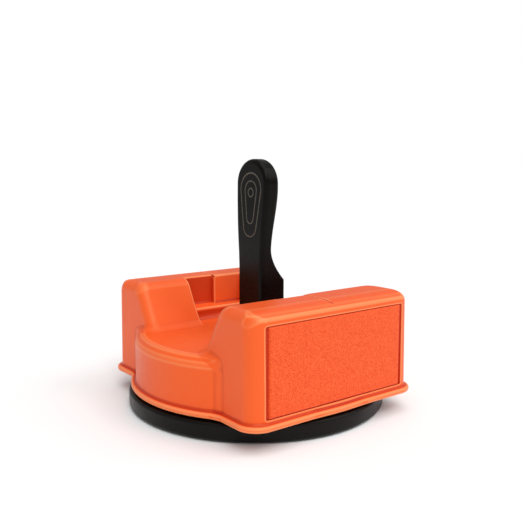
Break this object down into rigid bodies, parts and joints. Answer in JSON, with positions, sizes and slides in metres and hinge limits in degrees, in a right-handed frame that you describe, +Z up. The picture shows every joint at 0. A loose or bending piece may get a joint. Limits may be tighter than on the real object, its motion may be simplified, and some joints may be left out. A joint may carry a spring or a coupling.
{
  "type": "lever-operated card shuffler",
  "caption": "Lever-operated card shuffler on a turntable: open valley between towers, finger wells, grip pads and a rocking lever driving a card pusher.",
  "frame": {"origin": "centre of the base disc, on the surface it stands on", "axes": "+Z up, +Y along the card valley from the front to the lever's heel side, +X across the valley towards the right tower"},
  "size_m": [0.15, 0.15, 0.1413],
  "materials": {
    "base_black": "satin moulded, near black",
    "foot_rubber": "matt",
    "ballast_steel": "zinc plated",
    "pin_steel": "ground bright",
    "screw_steel": "zinc plated",
    "spring_steel": "bright drawn wire",
    "ball_steel": "polished",
    "gear_acetal": "natural acetal, satin",
    "housing_orange": "satin moulded",
    "chassis_dark": "fine spark texture",
    "pad_orange": "fine nap, matt",
    "bush_bronze": "sintered bronze",
    "lever_black": "satin moulded, near black"
  },
  "bodies": {
    "base": {"base_disc": "base_black", "foot_ring": "foot_rubber", "ballast_plate": "ballast_steel", "ballast_screws": "screw_steel", "spindle": "pin_steel", "spindle_washer": "pin_steel", "spindle_screw": "screw_steel"},
    "bearing_cage": {"ball_cage": "gear_acetal", "thrust_balls": "ball_steel"},
    "housing": {"housing_shell": "housing_orange", "chassis_plate": "chassis_dark", "chassis_screws": "screw_steel", "grip_pad_left": "pad_orange", "grip_pad_right": "pad_orange", "axle_bush_left": "bush_bronze", "axle_bush_right": "bush_bronze", "guide_rod_left": "pin_steel", "guide_rod_right": "pin_steel", "return_spring_front_left": "spring_steel", "return_spring_front_right": "spring_steel", "return_spring_rear_left": "spring_steel", "return_spring_rear_right": "spring_steel"},
    "lever": {"lever": "lever_black", "lever_axle": "pin_steel", "sector_gear": "gear_acetal", "axle_spacer": "gear_acetal", "axle_clips": "screw_steel"},
    "shuttle": {"rack_slider": "gear_acetal", "plain_slider": "gear_acetal", "pusher_frame": "housing_orange", "pusher_screws": "screw_steel"}
  },
  "joints": [
    {"name": "turntable_spin", "type": "hinge", "parent": "base", "child": "housing", "pos_m": [0, 0, 0.01], "axis": [0, 0, 1], "continuous": true},
    {"name": "cage_spin", "type": "hinge", "parent": "base", "child": "bearing_cage", "pos_m": [0, 0, 0.01], "axis": [0, 0, 1], "continuous": true},
    {"name": "lever_rock", "type": "hinge", "parent": "housing", "child": "lever", "pos_m": [0, 0.0032, 0.023], "axis": [1, 0, 0], "range_deg": [-28, 28], "stiffness_Nm_per_rad": 0.35},
    {"name": "shuttle_slide", "type": "slide", "parent": "housing", "child": "shuttle", "axis": [0, 1, 0], "range_m": [-0.0066, 0.0066], "deforming": ["return_spring_front_left", "return_spring_front_right", "return_spring_rear_left", "return_spring_rear_right"]}
  ],
  "couplings": [
    {"joint": "cage_spin", "follows": "turntable_spin", "ratio": 0.5},
    {"joint": "shuttle_slide", "follows": "lever_rock", "m_per_rad": -0.0125}
  ]
}
